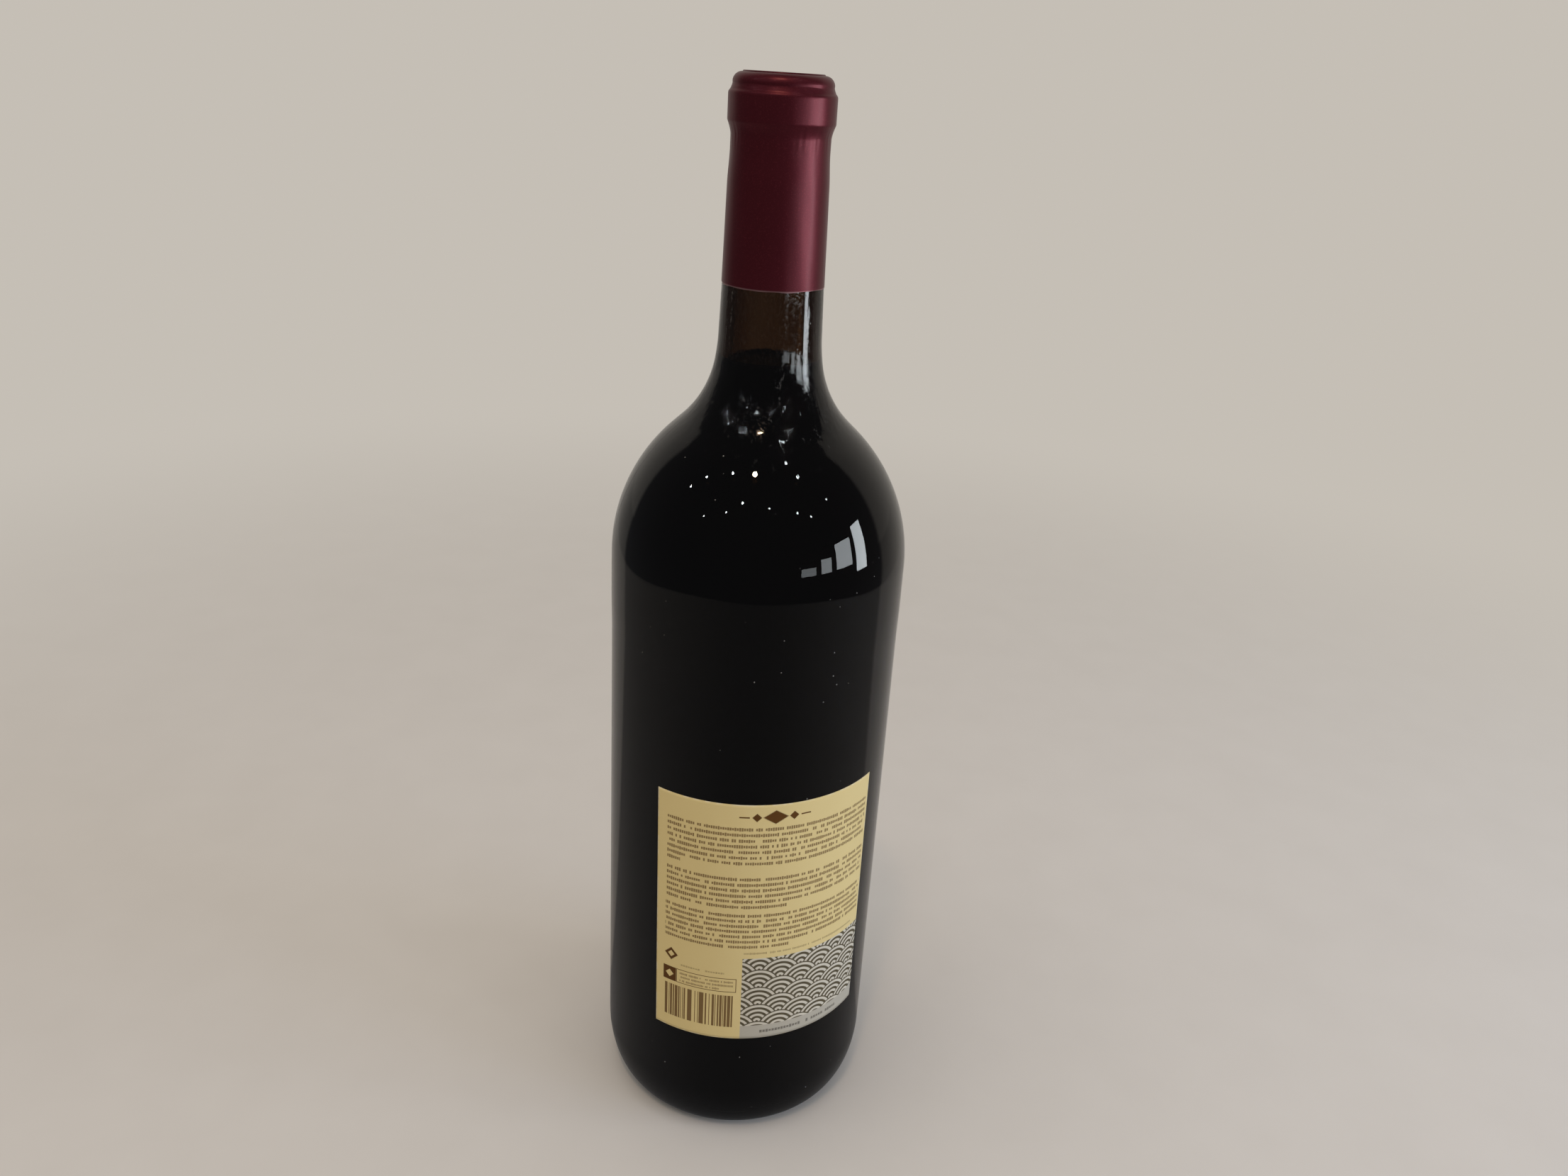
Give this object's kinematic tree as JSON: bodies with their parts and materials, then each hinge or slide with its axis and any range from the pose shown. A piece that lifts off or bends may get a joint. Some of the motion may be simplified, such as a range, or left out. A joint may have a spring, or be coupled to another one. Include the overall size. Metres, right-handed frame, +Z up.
{
  "type": "wine bottle",
  "caption": "Tall round bottle of dark glass with a high shoulder and slim neck, filled with red wine and shut under a burgundy capsule, with plain cream paper labels.",
  "frame": {"origin": "centre of the standing ring, on the surface that the bottle stands on", "axes": "+Z up along the bottle's axis, -Y towards the back label, which is the side the picture shows"},
  "size_m": [0.0974, 0.0982, 0.3581],
  "materials": {
    "dark_glass": "glossy, nearly black, brown-olive where light passes through",
    "red_wine": "dark red wine, nearly black in depth",
    "burgundy_foil": "satin lacquered foil",
    "cream_paper": null
  },
  "bodies": {
    "root": {"glass_bottle": "dark_glass", "wine": "red_wine", "capsule": "burgundy_foil", "back_label": "cream_paper", "front_label": "cream_paper"}
  },
  "joints": []
}
